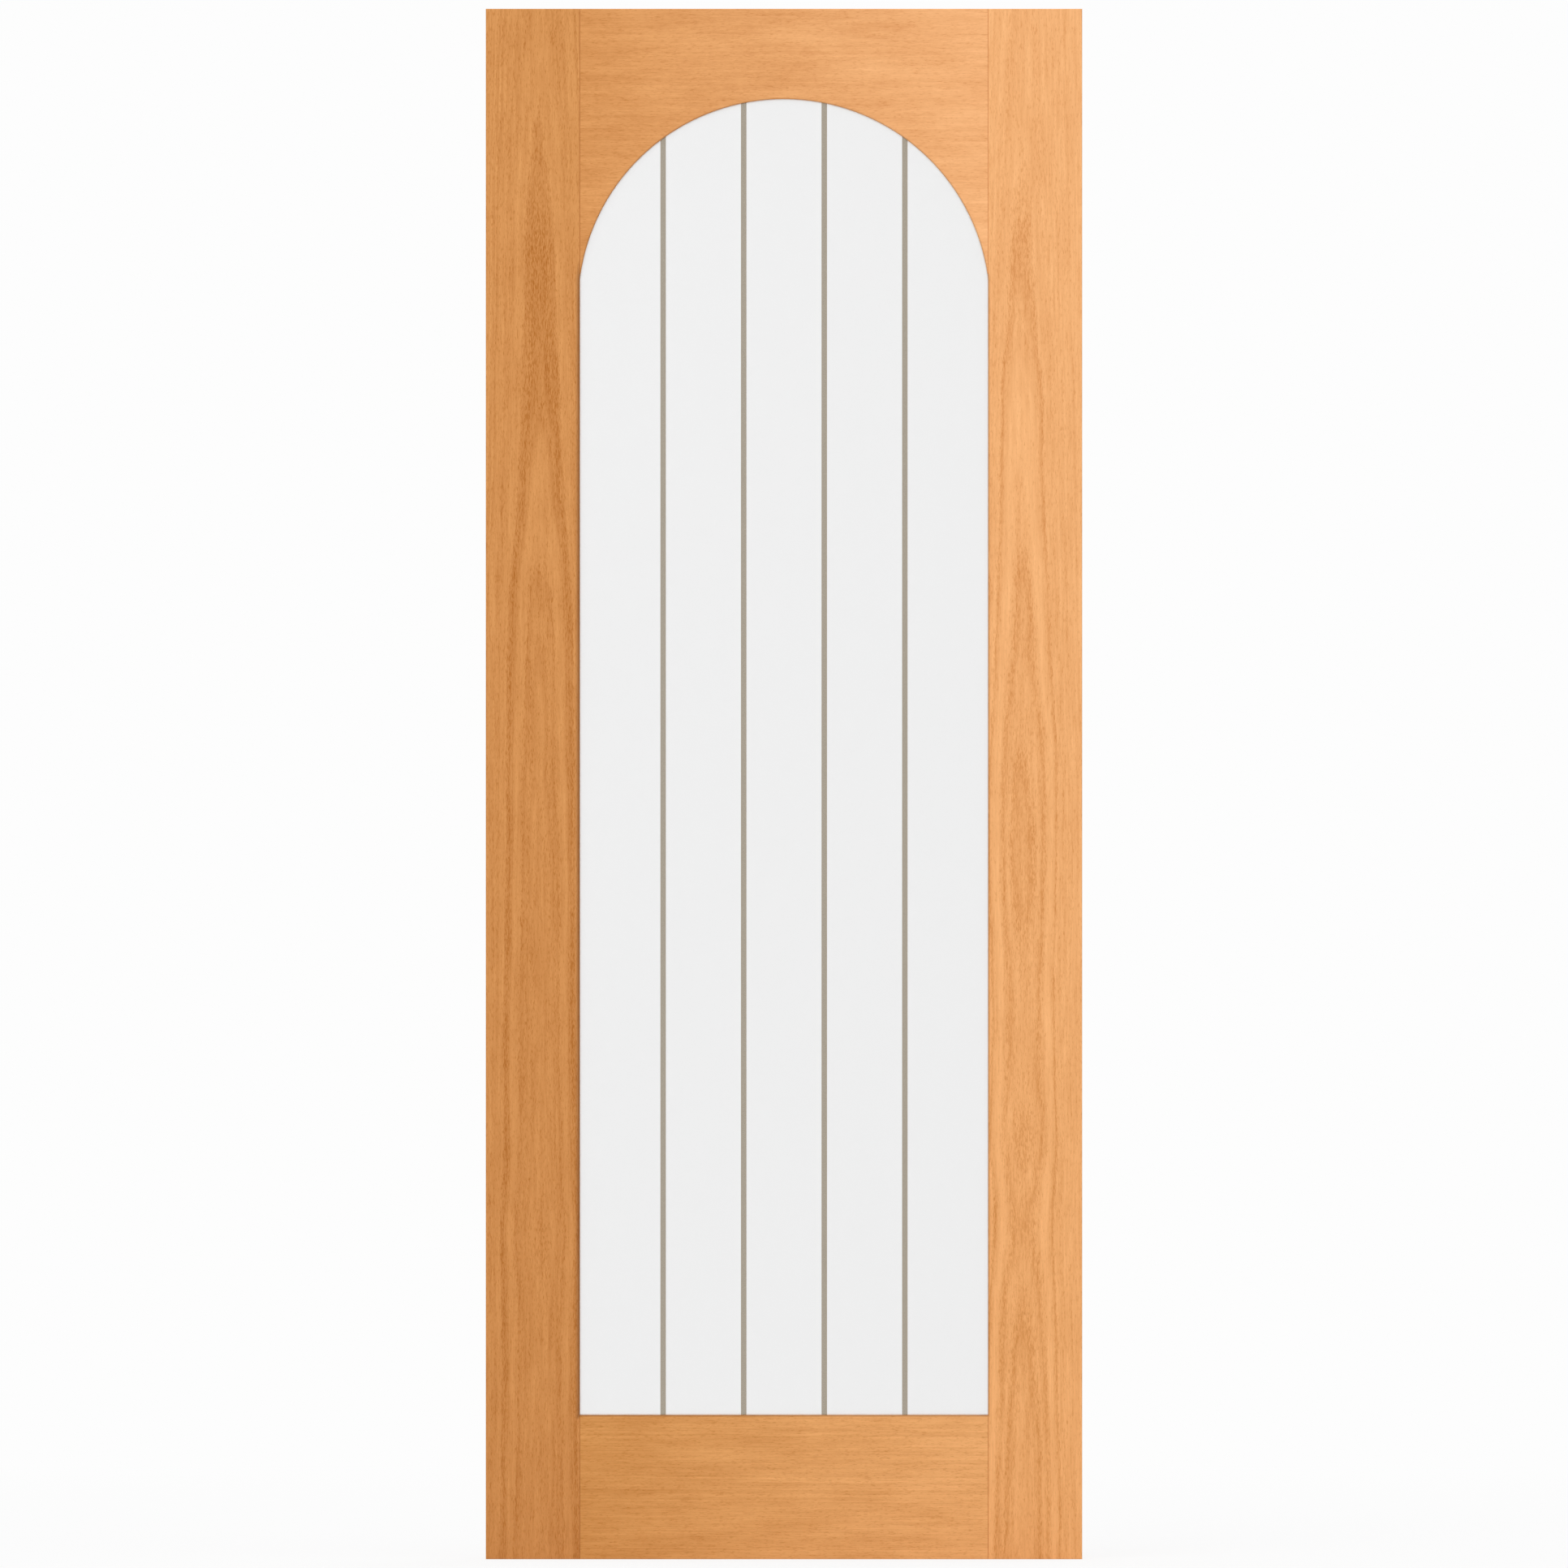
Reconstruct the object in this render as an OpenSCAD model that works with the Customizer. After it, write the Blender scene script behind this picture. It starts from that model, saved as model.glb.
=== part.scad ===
// Arched glazed door leaf in oak.
// Two stiles, an arched top rail and a bottom rail are dowelled together, and an
// etched pane sits in a rebate between tapes, held by pinned beads on the back.
// The front face looks along -Y, +Z is up, and the origin is the middle of the foot.

/* [Leaf] */
// Overall width of the leaf
leaf_w = 762; // [610:1:926]
// Overall height of the leaf
leaf_h = 1981; // [1900:1:2135]
// Thickness of the leaf
leaf_t = 35; // [32:0.5:54]
// Eased arris along the edges of every board
ease = 0.6; // [0.2:0.1:1.5]

/* [Stiles and rails] */
// Face width of each stile
stile_w = 120; // [105:0.5:140]
// Depth of the top rail above the crown of the arch
crown_d = 115; // [90:0.5:160]
// Depth of the bottom rail
bottom_rail_d = 184; // [160:0.5:240]
// How far the arch radius passes half of the clear width between the stiles
arch_reach = 2; // [1.5:0.5:6]
// Blunt thickness left at the two toes of the arch
toe_t = 1; // [0.5:0.1:1.4]

/* [Dowels] */
// Diameter of a dowel
dowel_d = 12; // [8:0.5:14]
// Length of a dowel, half in the rail and half in the stile
dowel_l = 110; // [80:1:120]
// Number of dowels at each end of a rail
dowel_n = 3; // [2:1:3]
// Spacing of the dowels
dowel_pitch = 50; // [35:1:52]
// Distance from the top of the leaf to the first dowel
dowel_top = 40; // [30:1:50]
// Bevel on the ends of a dowel
dowel_bevel = 1.5; // [0.5:0.1:2.5]
// Glue space round a dowel
dowel_fit = 0.1; // [0.05:0.05:0.3]
// Space beyond each end of a dowel
dowel_end_gap = 2; // [1:0.5:4]

/* [Glazing rebate] */
// Thickness of the lip left in front of the glass
lip_t = 13; // [8:0.5:16]
// Width of the rebate behind the lip
rebate_w = 12; // [10:0.5:16]
// Thickness of the glass
glass_t = 6; // [4:0.5:8]
// Gap between the edge of the glass and the rebate
glass_gap = 3; // [2:0.5:5]
// Thickness of the glazing tape, once pressed
tape_t = 1; // [0.5:0.1:2]
// Setback of the tape from the sight line
tape_setback = 1; // [0.5:0.5:3]
// Length of a glazing block
block_l = 60; // [40:1:100]

/* [Etched lines] */
// Number of lines
line_n = 4; // [2:1:4]
// Spacing of the lines
line_pitch = 103; // [80:1:110]
// Width of a line
line_w = 7; // [4:0.5:10]
// Depth of a line in the front of the glass
line_cut = 0.8; // [0.4:0.1:1.5]

/* [Beads and pins] */
// Clearance between a bead and the rebate, and at each bead joint
bead_fit = 0.3; // [0.2:0.1:0.6]
// How far the beads lie below the back face
bead_sink = 0.5; // [0.2:0.1:1.5]
// Bevel on the sight edge of a bead
bead_bevel = 3; // [1:0.5:4]
// Diameter of a pin
pin_d = 1.6; // [1.2:0.1:2]
// Length of a pin
pin_l = 28; // [20:1:35]
// Diameter of a pin's head
pin_head_d = 2.6; // [2.2:0.1:3.2]
// Thickness of a pin's head
pin_head_t = 0.9; // [0.6:0.1:1.4]
// Space round a pin and under its tip
pin_fit = 0.05; // [0.02:0.01:0.1]
// Largest spacing of the pins along a straight bead
pin_pitch = 190; // [120:5:250]
// Distance from the end of a straight bead to its first pin
pin_end = 70; // [40:5:100]
// Number of pins in each arch bead
arch_pin_n = 3; // [2:1:4]
// Angle above the springing line of the lowest pin in an arch bead
arch_pin_low = 36; // [33:1:45]
// Angle above the springing line of the highest pin in an arch bead
arch_pin_high = 82; // [70:1:85]

/* [Hidden] */
$fn = 96;

// Cutters reach this far past the faces they open
past = 1;

// The front and back faces, and the layers between them from front to back
front_y = -leaf_t / 2;
back_y = leaf_t / 2;
lip_y = front_y + lip_t;
glass_front_y = lip_y + tape_t;
glass_back_y = glass_front_y + glass_t;
bead_front_y = glass_back_y + tape_t;
bead_back_y = back_y - bead_sink;

// The sight opening: half its clear width, its sill and the circle of its arch
clear_half = leaf_w / 2 - stile_w;
sill_z = bottom_rail_d;
arch_r = clear_half + arch_reach;
spring_z = leaf_h - crown_d - arch_r;

// Height above the springing line at which the arch meets a stile, and its toes end
arch_meets_h = sqrt(arch_r ^ 2 - clear_half ^ 2);
toe_z = spring_z + sqrt(arch_r ^ 2 - (clear_half - toe_t) ^ 2);

// Widths measured outwards from the sight line
glass_e = rebate_w - glass_gap;
bead_w = rebate_w - bead_fit;

// Heights of the bead joints at the springing, and of the pins through the beads
bead_joint_z = spring_z + arch_meets_h;
pin_y = (bead_front_y + bead_back_y - bead_bevel) / 2;

// Heights of the dowels in each rail
top_dowels = [for (i = [0 : dowel_n - 1]) leaf_h - dowel_top - i * dowel_pitch];
bottom_dowels = [
    for (i = [0 : dowel_n - 1])
        (bottom_rail_d - rebate_w) / 2 + (i - (dowel_n - 1) / 2) * dowel_pitch
];

// Middle of each etched line
line_xs = [for (i = [0 : line_n - 1]) (i - (line_n - 1) / 2) * line_pitch];

// Places along a run from low to high, no further apart than pin_pitch
function pin_places(low, high) =
    let (steps = ceil((high - low - 2 * pin_end) / pin_pitch))
    [for (i = [0 : steps]) low + pin_end + i * (high - low - 2 * pin_end) / steps];

side_pin_zs = pin_places(sill_z, bead_joint_z);
bottom_pin_xs = pin_places(-clear_half, clear_half);
arch_pin_angles = [
    for (i = [0 : arch_pin_n - 1])
        arch_pin_low + i * (arch_pin_high - arch_pin_low) / (arch_pin_n - 1)
];

// Extrudes an outline drawn in X and Z through the leaf, from one depth to another
module through_leaf(from_y, to_y) {
    rotate([90, 0, 0])
        translate([0, 0, -to_y])
            linear_extrude(to_y - from_y)
                children();
}

// Outline of the sight opening, grown outwards by e
module arched_outline(e) {
    intersection() {
        translate([-clear_half - e, sill_z - e])
            square([2 * (clear_half + e), leaf_h]);
        union() {
            translate([0, spring_z])
                circle(arch_r + e);
            translate([-arch_r - e, sill_z - e])
                square([2 * (arch_r + e), spring_z - sill_z + e]);
        }
    }
}

// Rectangle with its four corners eased
module eased_rectangle(w, d) {
    polygon([
        [ease, 0], [w - ease, 0], [w, ease], [w, d - ease],
        [w - ease, d], [ease, d], [0, d - ease], [0, ease]
    ]);
}

// Planed board of full thickness with eased edges, between two widths and two heights
module board(from_x, to_x, from_z, to_z) {
    intersection() {
        translate([from_x, front_y, from_z])
            linear_extrude(to_z - from_z)
                eased_rectangle(to_x - from_x, leaf_t);
        translate([from_x, front_y, from_z])
            rotate([90, 0, 90])
                linear_extrude(to_x - from_x)
                    eased_rectangle(leaf_t, to_z - from_z);
    }
}

// Space behind the lip that takes the glass, its tapes and the beads
module glazing_rebate() {
    through_leaf(lip_y, back_y + past)
        arched_outline(rebate_w);
}

// Places its children at every dowel, on the joint line and pointing across the leaf
module at_dowels(zs) {
    for (side = [-1, 1], z = zs)
        translate([side * clear_half, 0, z])
            rotate([0, 90, 0])
                children();
}

module dowel_holes(zs) {
    at_dowels(zs)
        cylinder(h = dowel_l + 2 * dowel_end_gap, d = dowel_d + 2 * dowel_fit, center = true);
}

module dowel() {
    r = dowel_d / 2;
    end = dowel_l / 2;
    rotate_extrude()
        polygon([
            [0, -end], [r - dowel_bevel, -end], [r, -end + dowel_bevel],
            [r, end - dowel_bevel], [r - dowel_bevel, end], [0, end]
        ]);
}

// Places its children on the sight faces of the beads, pointing outwards along +Z
module at_side_pins(side) {
    for (z = side_pin_zs)
        translate([side * clear_half, pin_y, z])
            rotate([0, side * 90, 0])
                children();
}

module at_bottom_pins() {
    for (x = bottom_pin_xs)
        translate([x, pin_y, sill_z])
            rotate([180, 0, 0])
                children();
}

module at_arch_pins(side) {
    for (angle = arch_pin_angles)
        translate([0, pin_y, spring_z])
            rotate([0, side * (90 - angle), 0])
                translate([0, 0, arch_r])
                    children();
}

// Pin with its head flush with the sight face of a bead, which is curved in the arch
module pin() {
    translate([0, 0, pin_fit])
        cylinder(h = pin_head_t, d = pin_head_d);
    translate([0, 0, pin_fit])
        cylinder(h = pin_l, d = pin_d);
}

// Hole that a pin leaves: a seat for its head, open at the sight face, and its shank
module pin_hole() {
    translate([0, 0, -past])
        cylinder(h = past + pin_head_t + 2 * pin_fit, d = pin_head_d + 2 * pin_fit);
    cylinder(h = pin_l + 2 * pin_fit, d = pin_d + 2 * pin_fit);
}

// Section of a bead, with r measured outwards and the bevel at the back of its sight edge
function bead_section(r) = [
    [r, bead_front_y], [r, bead_back_y - bead_bevel], [r + bead_bevel, bead_back_y],
    [r + bead_w, bead_back_y], [r + bead_w, bead_front_y]
];

// Straight bead beside a stile, mitred at the sill and butted at the springing
module side_bead(side) {
    difference() {
        intersection() {
            mirror([side < 0 ? 1 : 0, 0, 0])
                translate([0, 0, sill_z - rebate_w])
                    linear_extrude(leaf_h)
                        polygon(bead_section(clear_half));
            through_leaf(bead_front_y, bead_back_y)
                polygon([
                    [side * clear_half, sill_z + bead_fit],
                    [side * clear_half, bead_joint_z - bead_fit],
                    [side * (clear_half + bead_w), bead_joint_z - bead_fit],
                    [side * (clear_half + bead_w), sill_z - bead_w + bead_fit]
                ]);
        }
        at_side_pins(side)
            pin_hole();
    }
}

// Quarter of the arch's bead, from its joint at the springing to its joint at the crown
module arch_bead(side) {
    difference() {
        intersection() {
            mirror([side < 0 ? 1 : 0, 0, 0])
                translate([0, 0, spring_z])
                    rotate([90, 0, 0])
                        rotate_extrude(angle = 90)
                            polygon([for (p = bead_section(arch_r)) [p.x, -p.y]]);
            through_leaf(bead_front_y - past, bead_back_y + past)
                polygon([
                    [side * bead_fit / 2, bead_joint_z],
                    [side * (clear_half + bead_w), bead_joint_z],
                    [side * (clear_half + bead_w), leaf_h],
                    [side * bead_fit / 2, leaf_h]
                ]);
        }
        at_arch_pins(side)
            pin_hole();
    }
}

module stile(side) {
    from_x = side < 0 ? -leaf_w / 2 : clear_half;
    difference() {
        board(from_x, from_x + stile_w, 0, leaf_h);
        glazing_rebate();
        dowel_holes(concat(top_dowels, bottom_dowels));
        at_side_pins(side)
            pin_hole();
    }
}

module left_stile() {
    color("#ce8d50")
        stile(-1);
}

module right_stile() {
    color("#eaa96f")
        stile(1);
}

// Head of the frame: a wide board with the arch sawn out of it, ending in two toes
module top_rail() {
    color("#e5a46a")
        difference() {
            board(-clear_half, clear_half, toe_z, leaf_h);
            through_leaf(front_y - past, back_y + past)
                translate([0, spring_z])
                    circle(arch_r);
            translate([0, front_y - past, spring_z])
                rotate([-90, 0, 0])
                    cylinder(h = past + ease, r1 = arch_r + ease + past, r2 = arch_r);
            glazing_rebate();
            dowel_holes(top_dowels);
            for (side = [-1, 1])
                at_arch_pins(side)
                    pin_hole();
        }
}

module bottom_rail() {
    color("#db995c")
        difference() {
            board(-clear_half, clear_half, 0, bottom_rail_d);
            glazing_rebate();
            dowel_holes(bottom_dowels);
            at_bottom_pins()
                pin_hole();
        }
}

module rail_dowels() {
    color("#d8b48a")
        at_dowels(concat(top_dowels, bottom_dowels))
            dowel();
}

// Ring of tape between the glass and the wood on one side of it
module tape_ring(from_y) {
    through_leaf(from_y, from_y + tape_t)
        difference() {
            arched_outline(glass_e);
            arched_outline(tape_setback);
        }
}

module front_tape() {
    color("#e8e6e0")
        tape_ring(lip_y);
}

module rear_tape() {
    color("#e8e6e0")
        tape_ring(glass_back_y);
}

// Etched pane with flat lines cut down its front face
module glass_pane() {
    color("#eeeeee")
        difference() {
            through_leaf(glass_front_y, glass_back_y)
                arched_outline(glass_e);
            for (x = line_xs)
                translate([x - line_w / 2, glass_front_y - past, 0])
                    cube([line_w, past + line_cut, leaf_h]);
        }
}

// Two blocks under the glass and two at each side of it, filling the edge gap
module glazing_blocks() {
    quarter = clear_half / 2;
    side_zs = [sill_z + quarter, spring_z - quarter];
    color("#3d4043") {
        for (x = [-quarter, quarter])
            translate([x - block_l / 2, glass_front_y, sill_z - rebate_w])
                cube([block_l, glass_t, glass_gap]);
        for (x = [-clear_half - rebate_w, clear_half + glass_e], z = side_zs)
            translate([x, glass_front_y, z - block_l / 2])
                cube([glass_gap, glass_t, block_l]);
    }
}

module bead_left() {
    color("#d9995c")
        side_bead(-1);
}

module bead_right() {
    color("#d9995c")
        side_bead(1);
}

module bead_bottom() {
    color("#d9995c")
        difference() {
            intersection() {
                translate([-leaf_w / 2, 0, sill_z])
                    rotate([90, 0, 90])
                        linear_extrude(leaf_w)
                            polygon([for (p = bead_section(0)) [p.y, -p.x]]);
                through_leaf(bead_front_y - past, bead_back_y + past)
                    polygon([
                        [-clear_half, sill_z], [clear_half, sill_z],
                        [clear_half + bead_w, sill_z - bead_w],
                        [-clear_half - bead_w, sill_z - bead_w]
                    ]);
            }
            at_bottom_pins()
                pin_hole();
        }
}

module bead_arch_left() {
    color("#d9995c")
        arch_bead(-1);
}

module bead_arch_right() {
    color("#d9995c")
        arch_bead(1);
}

module bead_pins() {
    color("#b9bcc0") {
        for (side = [-1, 1]) {
            at_side_pins(side)
                pin();
            at_arch_pins(side)
                pin();
        }
        at_bottom_pins()
            pin();
    }
}

left_stile();
right_stile();
top_rail();
bottom_rail();
rail_dowels();
front_tape();
glass_pane();
rear_tape();
glazing_blocks();
bead_left();
bead_right();
bead_bottom();
bead_arch_left();
bead_arch_right();
bead_pins();
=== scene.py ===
# Arched glazed door leaf in oak, dressed for the eye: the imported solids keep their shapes,
# and every piece gets the finish of what it is made of.
import math

import bpy
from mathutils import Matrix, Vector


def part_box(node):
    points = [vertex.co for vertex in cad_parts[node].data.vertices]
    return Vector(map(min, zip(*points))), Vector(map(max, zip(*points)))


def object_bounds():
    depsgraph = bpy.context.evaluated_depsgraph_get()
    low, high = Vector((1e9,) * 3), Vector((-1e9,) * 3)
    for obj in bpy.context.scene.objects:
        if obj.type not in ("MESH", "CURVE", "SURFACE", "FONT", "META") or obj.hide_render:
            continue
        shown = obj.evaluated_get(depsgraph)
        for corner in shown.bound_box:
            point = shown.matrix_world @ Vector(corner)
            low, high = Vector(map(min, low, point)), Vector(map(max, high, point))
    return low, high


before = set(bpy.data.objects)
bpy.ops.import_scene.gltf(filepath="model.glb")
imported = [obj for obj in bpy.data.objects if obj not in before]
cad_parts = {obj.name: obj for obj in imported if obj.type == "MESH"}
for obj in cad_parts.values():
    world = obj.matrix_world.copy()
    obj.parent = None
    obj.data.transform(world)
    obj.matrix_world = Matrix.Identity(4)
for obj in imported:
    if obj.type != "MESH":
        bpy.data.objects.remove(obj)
cad_low, cad_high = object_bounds()


# Left stile: a plain-sawn oak board, planed, sanded and lacquered satin.
# Its grain runs up the leaf, and the saw has cut the growth rings into tall pointed arches.
# Dowels and glue hold it to the ends of both rails.
def linear(colour):
    """An sRGB hex colour as linear RGBA."""
    shares = [int(colour[i:i + 2], 16) / 255 for i in (1, 3, 5)]
    return [s / 12.92 if s <= 0.04045 else ((s + 0.055) / 1.055) ** 2.4 for s in shares] + [1.0]


def add(tree, kind, inputs=None, **settings):
    """Adds a node with its settings, and sets or links each of its inputs by name or number.
    A Mix of colours takes its share at 0 and its colours at 6 and 7, and gives its result at 2."""
    node = tree.nodes.new("ShaderNode" + kind)
    for setting, value in settings.items():
        setattr(node, setting, value)
    for socket, value in (inputs or {}).items():
        if isinstance(value, bpy.types.NodeSocket):
            tree.links.new(value, node.inputs[socket])
        else:
            node.inputs[socket].default_value = value
    return node


def new_material(name):
    """An empty node material: its tree and the shader that the finish is linked to."""
    material = bpy.data.materials.new(name)
    material.use_nodes = True
    tree = material.node_tree
    tree.nodes.clear()
    shader = add(tree, "BsdfPrincipled")
    add(tree, "OutputMaterial", {"Surface": shader.outputs["BSDF"]})
    return material, tree, shader


def dress(node, material):
    """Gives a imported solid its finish."""
    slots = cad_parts[node].data.materials
    slots.clear()
    slots.append(material)


def swing(tree, level, parts):
    """Adds parts to a level, each swinging about its own middle of 0.5 by its weight."""
    total = level - 0.5 * sum(weight for _, weight in parts)
    for part, weight in parts:
        total = add(tree, "Math", {0: part, 1: weight, 2: total}, operation="MULTIPLY_ADD").outputs[0]
    return total


# How deep a board shows rings, how far they sway, how far pores fray their edges
# and how far apart the fine lines of growth lie, in mm
ring_reach = 40
sway_reach = 5
fray = 1.5
ring_line = 1.2

# Tones at which a ring counts as dark or as pale, the noise below which pores open in each,
# and how far below it they are at their deepest
dark_ring, pale_ring = 0.2, 0.6
dark_crowd, pale_crowd = 0.6, 0.45
pore_slope = 0.25

# Roughness of the lacquer over sound wood and over the pores, and the depth of a pore in metres
lacquer_rough = 0.68
pore_rough = 0.8
pore_depth = 0.0002

# Half of the leaf's thickness in mm, and the axes that a board may drift along
half_thick = 1000 * cad_high.y
across, up = 0, 2


def lacquered_oak(node, turn, pith, lean, rings, figure, mottle, streak_length, tones, drift, seed):
    """Plain-sawn oak under satin lacquer: rings cut into arches and flames, long pale and dark
    streaks along the grain, and short open pores that catch a little shade.
    turn lays the grain. pith is the middle of the trunk in mm, across and through the board.
    lean lists places along the grain and how far the rings have grown outwards there, in mm.
    rings lists their tones from the pith out. figure is the weight of the rings, and tones are the
    dark and light colours, at the two ends of the board along its drift axis. The change in colour from
    one end to the other is painted light, paler at the end where the light falls stronger.
    mottle is the weight of slow clouds, streak_length is in mm, and seed sets one board apart
    from another."""
    material, tree, shader = new_material("lacquered_oak_" + node)
    place = add(tree, "TexCoord").outputs["Object"]

    # The board in mm, from the pith: X across it, Y through it and Z along its grain
    board = add(tree, "Mapping", {
        "Vector": place, "Scale": (1000, 1000, 1000), "Rotation": turn,
        "Location": (-pith[0], -pith[1], 0),
    }).outputs["Vector"]
    along = add(tree, "SeparateXYZ", {0: board}).outputs["Z"]

    # Noises drawn out along the grain, with their sizes in mm across, through and along it.
    # Real pores are 0.3 mm wide, and are drawn 1 mm wide so that they show
    noises = {}
    for noise, size, detail, roughness, shift in (
        ("sway", (35, 35, 200), 4, 0.55, 0),
        ("streaks", (5, 5, streak_length), 2, 0.6, 0),
        ("threads", (1.8, 1.8, streak_length / 5), 1, 0.5, 2),
        ("pores", (1, 1, 5), 1, 0.5, 0),
        ("clouds", (28, 28, 90), 2, 0.5, 5),
    ):
        at = add(tree, "VectorMath", {0: board, 1: size}, operation="DIVIDE").outputs[0]
        noises[noise] = add(tree, "TexNoise", {
            "Vector": at, "W": seed + shift, "Scale": 1, "Detail": detail, "Roughness": roughness,
        }, noise_dimensions="4D").outputs["Fac"]

    # Depth of the rings at the front: the distance from the pith, which leans as the trunk grew.
    # A new curve has two points, and the others are added before all are placed
    (low_end, _), (high_end, _) = lean[0], lean[-1]
    share = add(tree, "MapRange", {"Value": along, "From Min": low_end, "From Max": high_end})
    leaning = add(tree, "FloatCurve", {"Value": share.outputs["Result"]})
    points = leaning.mapping.curves[0].points
    for _ in lean[2:]:
        points.new(0.5, 0.5)
    for point, (end, growth) in zip(points, lean):
        point.location = ((end - low_end) / (high_end - low_end), growth / ring_reach)
    leaning.mapping.update()
    level = add(tree, "VectorMath", {0: board, 1: (1, 1, 0)}, operation="MULTIPLY").outputs[0]
    radius = add(tree, "VectorMath", {0: level}, operation="LENGTH").outputs["Value"]
    strays = swing(tree, -pith[1] - half_thick, (
        (noises["sway"], sway_reach), (noises["pores"], fray),
    ))
    depth = add(tree, "Math", {0: radius, 1: strays}, operation="ADD").outputs[0]
    depth = add(tree, "Math", {
        0: leaning.outputs[0], 1: ring_reach, 2: depth,
    }, operation="MULTIPLY_ADD").outputs[0]

    # Broad bands of ring after ring, and fine lines within them.
    # Every board reads its lines from a row of its own in the noise
    out = add(tree, "Math", {0: depth, 1: ring_reach}, operation="DIVIDE").outputs[0]
    bands = add(tree, "ValToRGB", {"Fac": out})
    bands.color_ramp.interpolation = "B_SPLINE"
    for _ in rings[2:]:
        bands.color_ramp.elements.new(0.5)
    for i, (ring, grey) in enumerate(zip(bands.color_ramp.elements, rings)):
        ring.position = i / (len(rings) - 1)
        ring.color = (grey, grey, grey, 1)
    bands = bands.outputs["Color"]
    row = 10 * seed
    line_at = add(tree, "CombineXYZ", {"X": depth, "Y": row}).outputs[0]
    lines = add(tree, "TexNoise", {
        "Vector": line_at, "Scale": 1 / ring_line, "Detail": 2, "Roughness": 0.5,
    }, noise_dimensions="2D").outputs["Fac"]

    # Pores are sparse, and crowd together in the dark rings: solid is 0 in a pore and 1 beside it
    crowd = add(tree, "MapRange", {
        "Value": bands, "From Min": dark_ring, "From Max": pale_ring,
        "To Min": dark_crowd, "To Max": pale_crowd,
    }).outputs["Result"]
    bottom = add(tree, "Math", {0: crowd, 1: pore_slope}, operation="SUBTRACT").outputs[0]
    solid = add(tree, "MapRange", {
        "Value": noises["pores"], "From Min": bottom, "From Max": crowd,
    }).outputs["Result"]

    # The board changes from one end of its drift to the other in its figure, and in its colours as
    # painted light, paler at the end where the light falls stronger
    low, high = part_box(node)
    where = add(tree, "SeparateXYZ", {0: place}).outputs[drift]
    share = add(tree, "MapRange", {
        "Value": where, "From Min": low[drift], "From Max": high[drift],
    }).outputs["Result"]
    strength = add(tree, "MapRange", {
        "Value": share, "To Min": figure[0], "To Max": figure[1],
    }).outputs["Result"]
    dark, light = (
        add(tree, "Mix", {0: share, 6: linear(first), 7: linear(last)}, data_type="RGBA").outputs[2]
        for first, last in zip(*tones)
    )

    # One tone from dark to light, in which every part has its own weight
    ringed = swing(tree, 0.0, ((bands, 0.7), (lines, 0.5), (solid, 0.2)))
    tone = swing(tree, 0.5, (
        (noises["streaks"], 0.5), (noises["threads"], 0.35), (solid, 0.2), (noises["clouds"], mottle),
    ))
    tone = add(tree, "Math", {0: ringed, 1: strength, 2: tone}, operation="MULTIPLY_ADD").outputs[0]
    wood = add(tree, "Mix", {0: tone, 6: dark, 7: light}, data_type="RGBA").outputs[2]
    tree.links.new(wood, shader.inputs["Base Color"])

    # Satin lacquer, a little duller over the pores, which it sinks into
    gloss = add(tree, "MapRange", {
        "Value": solid, "To Min": pore_rough, "To Max": lacquer_rough,
    }).outputs["Result"]
    tree.links.new(gloss, shader.inputs["Roughness"])
    dents = add(tree, "Bump", {"Height": solid, "Strength": 0.25, "Distance": pore_depth}).outputs["Normal"]
    tree.links.new(dents, shader.inputs["Normal"])
    shader.inputs["IOR"].default_value = 1.5
    shader.inputs["Specular IOR Level"].default_value = 0.25
    return material


# The sight line round the glass: the stiles' inner edges, the sill, and the arch's circle,
# which reaches a little past the opening at each side
arch_reach = 0.002
sight_half = -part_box("left_stile")[1].x
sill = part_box("bottom_rail")[1].z
pane_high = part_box("glass_pane")[1]
crown = pane_high.z - (pane_high.x - sight_half)
arch_radius = sight_half + arch_reach
springing = crown - arch_radius

# Painted shade on the arris, and a dark joint line: how far the shade goes round the arris, how wide
# the line is in a joint, how near it comes there to the rail's end face, and how the shade fades
arris = 0.0015
hairline = 0.0012
end_skin = hairline / 20
arris_shade_fade = 1.3
arris_shade_and_joint_colour = "#74441f"


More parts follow.
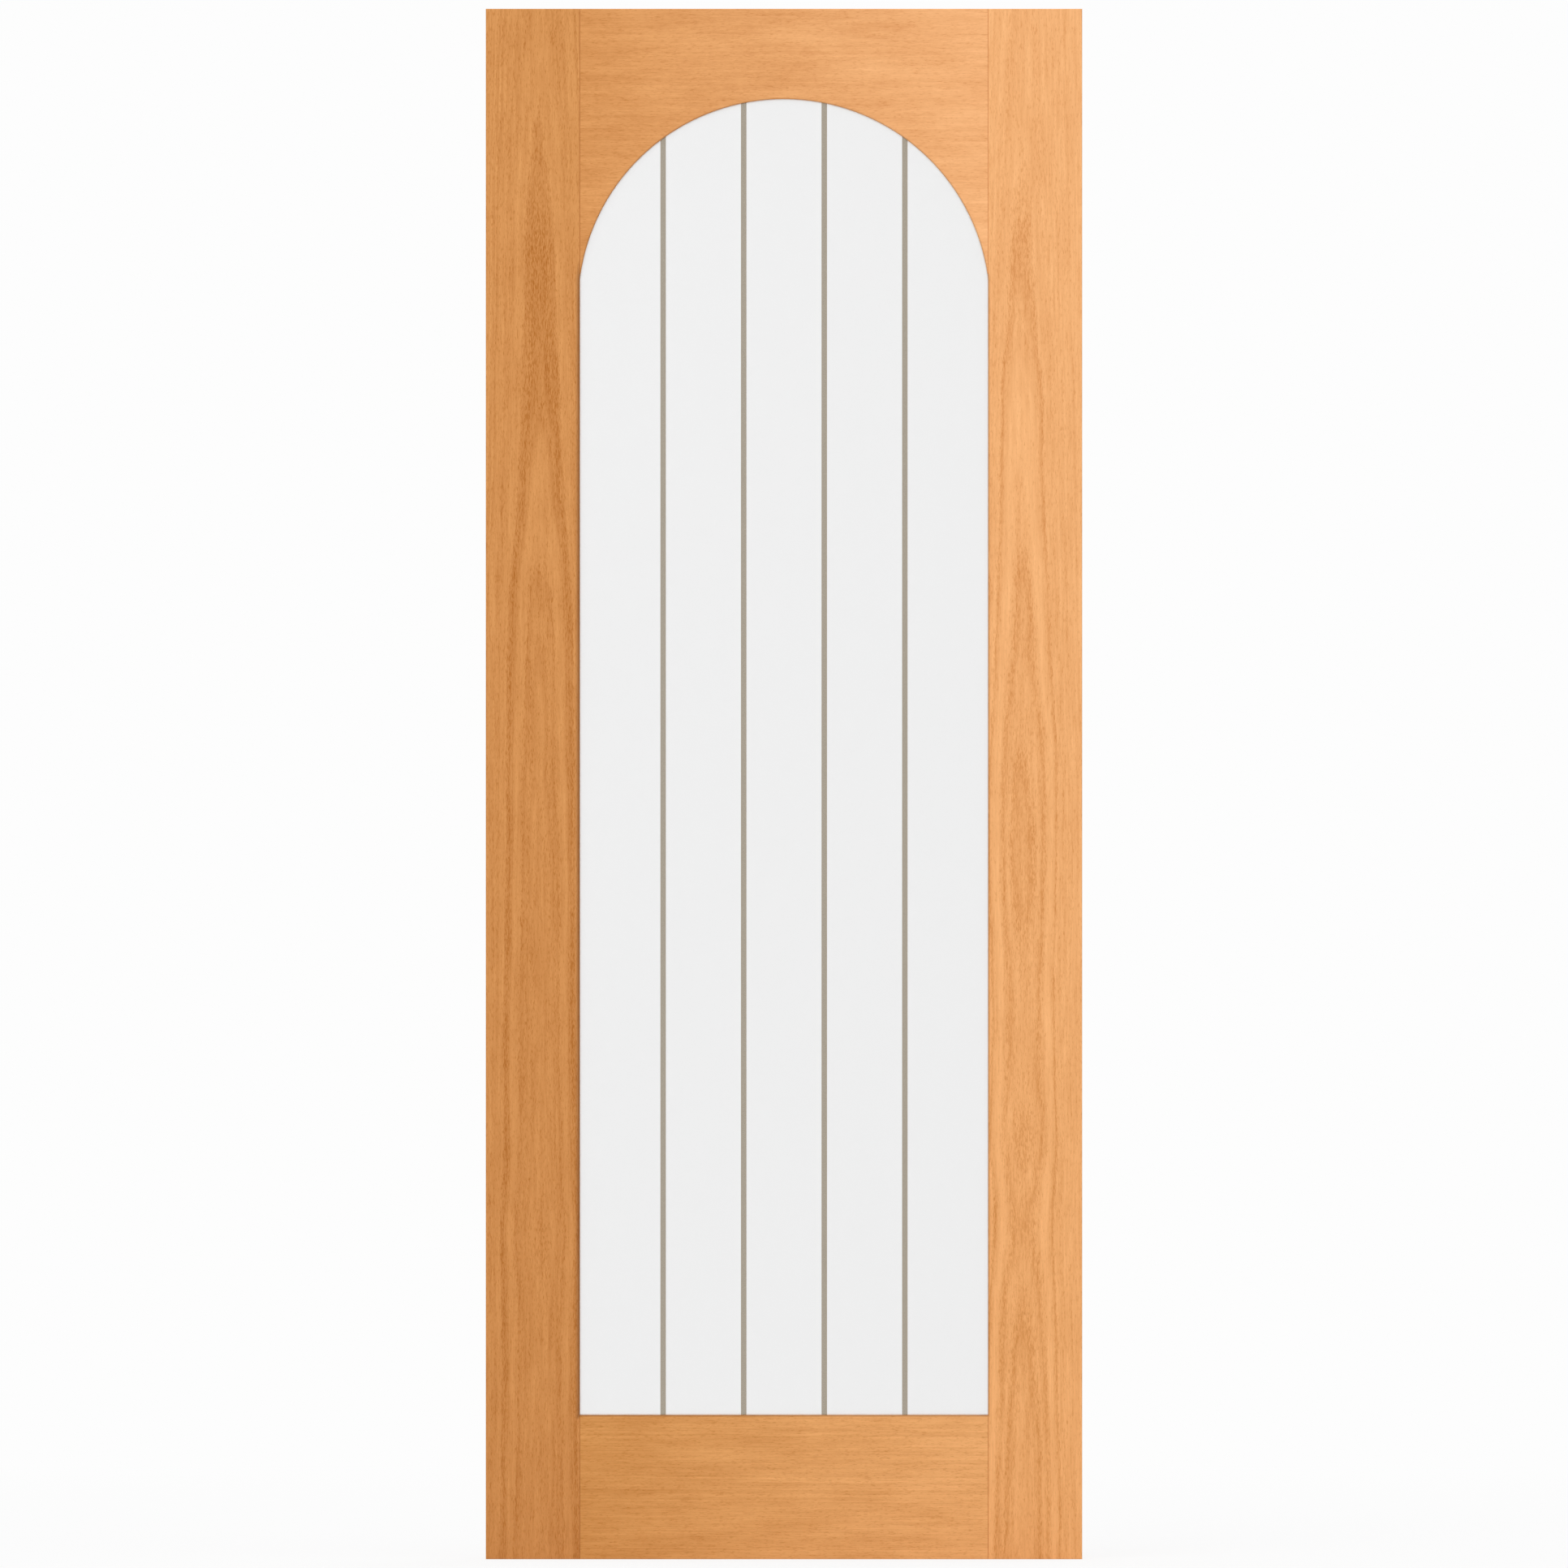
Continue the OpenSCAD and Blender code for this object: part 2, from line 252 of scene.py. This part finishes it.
def paint_arris_shade_and_joint(material, reach, depth, joint_depth=0.0):
    """Painted shade along the front arris round the glass, reach metres wide and as dark as
    depth, and a dark joint line as dark as joint_depth in the hairline where a rail meets a stile."""
    tree = material.node_tree
    shader = next(node for node in tree.nodes if node.type == "BSDF_PRINCIPLED")
    wood = shader.inputs["Base Color"].links[0].from_socket
    x, y, z = add(tree, "SeparateXYZ", {0: add(tree, "TexCoord").outputs["Object"]}).outputs

    # How far a point lies outside the sight line, by the arch, the stiles and the sill
    aside = add(tree, "Math", {0: x}, operation="ABSOLUTE").outputs[0]
    rise = add(tree, "Math", {0: z, 1: springing}, operation="SUBTRACT").outputs[0]
    rise = add(tree, "Math", {0: rise, 1: 0.0}, operation="MAXIMUM").outputs[0]
    spoke = add(tree, "CombineXYZ", {"X": aside, "Z": rise}).outputs[0]
    spoke = add(tree, "VectorMath", {0: spoke}, operation="LENGTH").outputs["Value"]
    from_arch = add(tree, "Math", {0: spoke, 1: arch_radius}, operation="SUBTRACT").outputs[0]
    from_stile = add(tree, "Math", {0: aside, 1: sight_half}, operation="SUBTRACT").outputs[0]
    from_sill = add(tree, "Math", {0: sill, 1: z}, operation="SUBTRACT").outputs[0]
    gap = add(tree, "Math", {0: from_arch, 1: from_stile}, operation="MAXIMUM").outputs[0]
    gap = add(tree, "Math", {0: gap, 1: from_sill}, operation="MAXIMUM").outputs[0]
    near = add(tree, "MapRange", {
        "Value": gap, "From Max": reach, "To Min": 1.0, "To Max": 0.0,
    }).outputs["Result"]
    near = add(tree, "Math", {0: near, 1: arris_shade_fade}, operation="POWER").outputs[0]

    # The painted shade turns the corner of the arris, and leaves the rest of the reveal clean
    corner = add(tree, "MapRange", {
        "Value": y, "From Min": cad_low.y, "From Max": cad_low.y + arris, "To Min": depth, "To Max": 0.0,
    }).outputs["Result"]
    arris_shade_and_joint = add(tree, "Math", {0: near, 1: corner}, operation="MULTIPLY").outputs[0]

    # In a joint it darkens up to the end of the rail, and the end face itself stays clean
    joint = add(tree, "MapRange", {
        "Value": from_stile, "From Min": -hairline, "From Max": 0.0, "To Max": joint_depth,
    }).outputs["Result"]
    inside = add(tree, "Math", {0: from_stile, 1: -end_skin}, operation="LESS_THAN").outputs[0]
    joint = add(tree, "Math", {0: joint, 1: inside}, operation="MULTIPLY").outputs[0]
    arris_shade_and_joint = add(tree, "Math", {0: arris_shade_and_joint, 1: joint}, operation="MAXIMUM").outputs[0]
    # The wood darkens under the painted shade and along the dark joint line
    shaded_and_jointed_wood = add(tree, "Mix", {0: arris_shade_and_joint, 6: wood, 7: linear(arris_shade_and_joint_colour)}, data_type="RGBA").outputs[2]
    tree.links.new(shaded_and_jointed_wood, shader.inputs["Base Color"])


upright = (0, 0, 0)
# Its colour pales a little towards the top, as painted light from above.
oak = lacquered_oak(
    "left_stile", upright, pith=(-312, 67),
    lean=[(0, 3.6), (340, 4.7), (410, 3.6), (470, 4.9), (640, 5.6), (960, 6.6), (1200, 8.3),
          (1270, 9.6), (1320, 11.2), (1370, 12.4), (1470, 13.9), (1590, 15.1), (1680, 15.7),
          (1760, 16.6), (1840, 18.2), (1980, 21)],
    rings=(0.5, 0.5, 0.2, 0.55, 0.45, 0.4, 0.34, 0.78, 0.4, 0.45, 0.05, 0.55, 0.48, 0.6, 0.38,
           0.55, 0.35, 0.6, 0.45, 0.55, 0.38, 0.58, 0.42, 0.55, 0.45, 0.5),
    figure=(0.65, 0.95), mottle=0.35, streak_length=130,
    tones=(("#a55e12", "#d99757"), ("#ac651d", "#e09f5e")), drift=up, seed=3.1,
)
# A wide, dark band of painted shade lies along its arris round the glass.
paint_arris_shade_and_joint(oak, reach=0.0065, depth=0.95)
dress("left_stile", oak)

# Right stile: the pair of the left one, of the same oak. It is painted paler than the left one, partly
# for its own tone and partly as painted light from the right, and it pales towards its top as painted
# light from above. It is finished and dowelled in the same way, and the painted shade on its arris is
# narrower and lighter.
oak = lacquered_oak(
    "right_stile", upright, pith=(305, 67),
    lean=[(0, 3.5), (230, 5.4), (330, 6.6), (370, 7.6), (430, 8.6), (490, 7.6), (540, 6.5),
          (610, 7.5), (700, 7.8), (770, 7.3), (820, 6.4), (910, 5.8), (1010, 6.4),
          (1090, 8), (1180, 9.6), (1250, 10.4), (1310, 11.4), (1500, 12.9), (1560, 14.7),
          (1610, 15.6), (1680, 16.1), (1750, 16.9), (1830, 18), (1980, 20)],
    rings=(0.5, 0.45, 0.55, 0.5, 0.05, 0.65, 0.02, 0.55, 0.8, 0.5, 0.12, 0.55, 0.5, 0.3, 0.6,
           0.45, 0.55, 0.38, 0.6, 0.5, 0.42, 0.58, 0.38, 0.58, 0.48, 0.55),
    figure=(0.6, 0.72), mottle=0.3, streak_length=100,
    tones=(("#c57f3a", "#fab879"), ("#d38848", "#fec185")), drift=up, seed=8.4,
)
paint_arris_shade_and_joint(oak, reach=0.0025, depth=0.65)
dress("right_stile", oak)

# Top rail: a wide oak board with the round arch sawn out of its lower edge.
# Its grain runs straight across the leaf with little figure, and its colour pales from left to right
# as painted light from the right.
# Its two ends are dowelled and glued to the stiles.
lying = (0, math.radians(90), 0)
even_rings = (0.5, 0.45, 0.55, 0.48, 0.54, 0.45, 0.55, 0.5, 0.45, 0.53, 0.47, 0.54)
rail_lean = [(-1000 * sight_half, 12), (1000 * sight_half, 14)]
oak = lacquered_oak(
    "top_rail", lying, pith=(2250, 220), lean=rail_lean, rings=even_rings,
    figure=(0.45, 0.45), mottle=0.5, streak_length=60,
    tones=(("#af6822", "#e4a262"), ("#d5894b", "#ffc288")), drift=across, seed=5.2,
)
# Painted shade along the arch's arris, and dark joint lines at its ends.
paint_arris_shade_and_joint(oak, reach=0.002, depth=0.5, joint_depth=0.35)
dress("top_rail", oak)

# Bottom rail: the deep foot of the frame, of the same oak as the top rail.
# It is dowelled and glued between the stiles, and its top edge is the sill of the glass.
# Its colour pales from left to right as painted light from the right.
oak = lacquered_oak(
    "bottom_rail", lying, pith=(330, 220), lean=rail_lean, rings=even_rings,
    figure=(0.7, 0.7), mottle=0.5, streak_length=130,
    tones=(("#aa6417", "#de9e5a"), ("#c37f3a", "#f8b879")), drift=across, seed=6.7,
)
# Painted shade along the sill's arris, and dark joint lines at its ends.
paint_arris_shade_and_joint(oak, reach=0.0025, depth=0.8, joint_depth=0.35)
dress("bottom_rail", oak)

# Dowels: beech pegs turned to size, three at each end of a rail, glued in and out of sight.
# Raw beech is pale and pinkish, with fine flecks along the peg.
peg_fleck = (16, 1.1, 1.1)
material, tree, shader = new_material("turned_beech")
place = add(tree, "TexCoord").outputs["Object"]
fleck_at = add(tree, "VectorMath", {0: place, 1: [mm / 1000 for mm in peg_fleck]}, operation="DIVIDE")
flecks = add(tree, "TexNoise", {"Vector": fleck_at.outputs[0], "Scale": 1, "Detail": 2}).outputs["Fac"]
beech = add(tree, "Mix", {0: flecks, 6: linear("#c9a277"), 7: linear("#e3c39b")}, data_type="RGBA")
tree.links.new(beech.outputs[2], shader.inputs["Base Color"])
shader.inputs["Roughness"].default_value = 0.7
dress("rail_dowels", material)

# Glazing tape: strips of closed-cell foam, stuck round the front and the back edge of the glass.
# The cut foam is off-white and quite matt.
# Its cells are about 0.2 mm wide, and are drawn 0.8 mm wide so that they show.
foam_cell = 0.0008
material, tree, shader = new_material("glazing_foam")
place = add(tree, "TexCoord").outputs["Object"]
cells = add(tree, "TexVoronoi", {"Vector": place, "Scale": 1 / foam_cell}).outputs["Distance"]
foam = add(tree, "Mix", {0: cells, 6: linear("#d5d2ca"), 7: linear("#ece9e2")}, data_type="RGBA")
tree.links.new(foam.outputs[2], shader.inputs["Base Color"])
shader.inputs["Roughness"].default_value = 0.9
dress("front_tape", material)
dress("rear_tape", material)

# Pane: 6 mm float glass with a round head, acid etched so that it glows white and hides the view.
# Four flat lines are cut and polished down its front, and show as taupe stripes.
# The grain of the etching is finer than 0.1 mm, and is drawn 2 mm wide so that it shows.
line_pitch = 0.103
line_width = 0.007
line_count = 4
frost_grain = 0.002
material, tree, shader = new_material("etched_glass")
place = add(tree, "TexCoord").outputs["Object"]
x = add(tree, "SeparateXYZ", {0: place}).outputs["X"]
cut = 0.0
for i in range(line_count):
    middle = (i - (line_count - 1) / 2) * line_pitch
    line = add(tree, "Math", {0: x, 1: middle, 2: line_width / 2}, operation="COMPARE").outputs[0]
    cut = add(tree, "Math", {0: cut, 1: line}, operation="MAXIMUM").outputs[0]
frost = add(tree, "TexNoise", {"Vector": place, "Scale": 1 / frost_grain, "Detail": 2}).outputs["Fac"]
matt = add(tree, "Mix", {0: frost, 6: linear("#efefef"), 7: linear("#f4f4f4")}, data_type="RGBA").outputs[2]
glass = add(tree, "Mix", {0: cut, 6: matt, 7: linear("#a59b8b")}, data_type="RGBA").outputs[2]
tree.links.new(glass, shader.inputs["Base Color"])
gloss = add(tree, "MapRange", {"Value": cut, "To Min": 0.3, "To Max": 0.25}).outputs["Result"]
tree.links.new(gloss, shader.inputs["Roughness"])
shader.inputs["IOR"].default_value = 1.5
shader.inputs["Specular IOR Level"].default_value = 0.08
shader.inputs["Transmission Weight"].default_value = 1.0
dress("glass_pane", material)

# Glazing blocks: moulded plastic packers that carry the glass and keep it off the wood.
# The plastic is dark grey and dull, with a slight mottle from the mould.
mould_mottle = 0.003
material, tree, shader = new_material("moulded_packer_plastic")
place = add(tree, "TexCoord").outputs["Object"]
mottle = add(tree, "TexNoise", {"Vector": place, "Scale": 1 / mould_mottle, "Detail": 2}).outputs["Fac"]
plastic = add(tree, "Mix", {0: mottle, 6: linear("#36393c"), 7: linear("#45484c")}, data_type="RGBA")
tree.links.new(plastic.outputs[2], shader.inputs["Base Color"])
shader.inputs["Roughness"].default_value = 0.55
dress("glazing_blocks", material)

# Beads: oak strips that hold the glass from the back, lacquered like the frame.
# Straight ones are mitred at the sill and two sawn quarters go round the arch,
# with their grain along the chord.
chord = math.radians(45)
for node, turn, seed in (
    ("bead_left", upright, 1.3), ("bead_right", upright, 2.6), ("bead_bottom", lying, 4.4),
    ("bead_arch_left", (0, -chord, 0), 7.5), ("bead_arch_right", (0, chord, 0), 9.2),
):
    dress(node, lacquered_oak(
        node, turn, pith=(0, 90), lean=[(-1000, 12), (2000, 14)], rings=even_rings,
        figure=(0.5, 0.5), mottle=0.4, streak_length=120,
        tones=(("#b36b25", "#e8a565"), ("#bb732d", "#f0ad6d")), drift=up, seed=seed,
    ))

# Pins: short lengths of bright drawn steel wire with flat heads, punched flush through the beads.
# Drawing leaves the wire bright, with small dull patches.
dull_patch = 0.0006
material, tree, shader = new_material("bright_steel_wire")
place = add(tree, "TexCoord").outputs["Object"]
drawn = add(tree, "TexNoise", {"Vector": place, "Scale": 1 / dull_patch, "Detail": 2}).outputs["Fac"]
steel = add(tree, "Mix", {0: drawn, 6: linear("#c2c5c9"), 7: linear("#aeb1b5")}, data_type="RGBA")
tree.links.new(steel.outputs[2], shader.inputs["Base Color"])
gloss = add(tree, "MapRange", {"Value": drawn, "To Min": 0.25, "To Max": 0.45}).outputs["Result"]
tree.links.new(gloss, shader.inputs["Roughness"])
shader.inputs["Metallic"].default_value = 1.0
dress("bead_pins", material)

# Studio floor: a wide sheet of pale matt paper that keeps the leaf's soft shadow.
# To the eye and in the glass it fades into the white all round.
floor_reach = 40.0

# Where the shadow starts and ends its fade, in metres from the leaf's foot, and how white it is there
shadow_reach = (0.5, 4.0)
shadow_white = (0.85, 1.0)
floor_mesh = bpy.data.meshes.new("studio_floor")
floor_mesh.from_pydata(
    [(x * floor_reach, y * floor_reach, 0) for x, y in ((-1, -1), (1, -1), (1, 1), (-1, 1))],
    [], [(0, 1, 2, 3)],
)
floor = bpy.data.objects.new("studio_floor", floor_mesh)
bpy.context.scene.collection.objects.link(floor)
studio_white = linear("#fdfdfd")
material = bpy.data.materials.new("pale_floor_paper")
material.use_nodes = True
tree = material.node_tree
tree.nodes.clear()
place = add(tree, "TexCoord").outputs["Object"]
away = add(tree, "VectorMath", {0: place}, operation="LENGTH").outputs["Value"]
fade = add(tree, "MapRange", {
    "Value": away, "From Min": shadow_reach[0], "From Max": shadow_reach[1],
    "To Min": shadow_white[0], "To Max": shadow_white[1],
}).outputs["Result"]
rays = add(tree, "LightPath").outputs
seen = add(tree, "Math", {0: rays["Is Camera Ray"], 1: rays["Is Glossy Ray"]}, operation="MAXIMUM").outputs[0]
white = add(tree, "Math", {0: fade, 1: seen}, operation="MULTIPLY").outputs[0]
white = add(tree, "Math", {0: white, 1: rays["Is Transmission Ray"]}, operation="MAXIMUM").outputs[0]
paper = add(tree, "BsdfDiffuse", {"Color": linear("#f2f2f2")})
glow = add(tree, "Emission", {"Color": studio_white, "Strength": 1.0})
mixed = add(tree, "MixShader", {0: white, 1: paper.outputs[0], 2: glow.outputs[0]})
add(tree, "OutputMaterial", {"Surface": mixed.outputs[0]})
floor_mesh.materials.append(material)

# Studio light: a soft white room, with softboxes before, above and behind the leaf.
# The room is full white where the eye, a reflection or the glass looks at it.
world = bpy.data.worlds.new("studio")
bpy.context.scene.world = world
world.use_nodes = True
tree = world.node_tree
tree.nodes.clear()
rays = add(tree, "LightPath").outputs
seen = add(tree, "Math", {0: rays["Is Camera Ray"], 1: rays["Is Glossy Ray"]}, operation="MAXIMUM").outputs[0]
seen = add(tree, "Math", {0: seen, 1: rays["Is Transmission Ray"]}, operation="MAXIMUM").outputs[0]
soft = add(tree, "Background", {"Color": (1, 1, 1, 1), "Strength": 0.5})
white = add(tree, "Background", {"Color": studio_white, "Strength": 1.0})
mixed = add(tree, "MixShader", {0: seen, 1: soft.outputs[0], 2: white.outputs[0]})
add(tree, "OutputWorld", {"Surface": mixed.outputs[0]})
for name, place, aim, side, watts in (
    ("front_softbox", (-3.6, -8.2, 3.5), (0, 0, 1.0), 4.0, 290),
    ("top_softbox", (0, -0.5, 10.0), (0, -0.3, 0), 8.0, 430),
    ("rear_softbox", (4.0, 6.0, 5.0), (0, 0, 1.0), 4.0, 100),
):
    light = bpy.data.lights.new(name, "AREA")
    light.shape = "SQUARE"
    light.size = side
    light.energy = watts
    lamp = bpy.data.objects.new(name, light)
    lamp.location = place
    lamp.rotation_euler = (Vector(aim) - Vector(place)).to_track_quat("-Z", "Y").to_euler()
    lamp.visible_camera = False
    bpy.context.scene.collection.objects.link(lamp)

# Camera: square on to the leaf and half way up it, with a long lens.
# It stands so far off that the reveals round the glass stay out of sight, as in the photograph,
# and its image is as wide as the photograph's pixels at the leaf's own scale.
camera_away = 30.0
pixel_size = 0.001037
photo_pixels = 1932
image_width = photo_pixels * pixel_size
camera_data = bpy.data.cameras.new("camera")
camera_data.sensor_width = 36.0
camera_data.lens = camera_data.sensor_width * camera_away / image_width
camera = bpy.data.objects.new("camera", camera_data)
camera.location = (0, cad_low.y - camera_away, (cad_low.z + cad_high.z) / 2)
camera.rotation_euler = (math.radians(90), 0, 0)
bpy.context.scene.collection.objects.link(camera)
bpy.context.scene.camera = camera
bpy.context.scene.view_settings.view_transform = "Standard"
